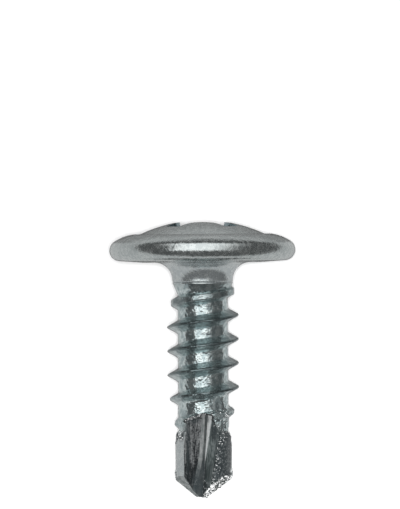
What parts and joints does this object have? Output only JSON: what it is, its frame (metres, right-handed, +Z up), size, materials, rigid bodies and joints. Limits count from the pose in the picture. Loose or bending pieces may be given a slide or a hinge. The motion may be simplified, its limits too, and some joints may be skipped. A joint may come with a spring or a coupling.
{
  "type": "self drilling screw",
  "caption": "Self drilling screw with a low domed washer head, cross recess, coarse right-hand thread and a fluted drill point that cuts its own hole in sheet metal.",
  "frame": {"origin": "middle of the underside of the bounding box, on the surface that the screw lies on", "axes": "+Y from the tip towards the head along the surface, +Z up. The screw lies on its side, on the rim of its head and the two edges of its lower flute, so its axis rises towards the head by 16.5 degrees."},
  "size_m": [0.011, 0.0162, 0.0105],
  "materials": {
    "zinc_plated_steel": "satin"
  },
  "bodies": {
    "root": {"screw": "zinc_plated_steel"}
  },
  "joints": []
}
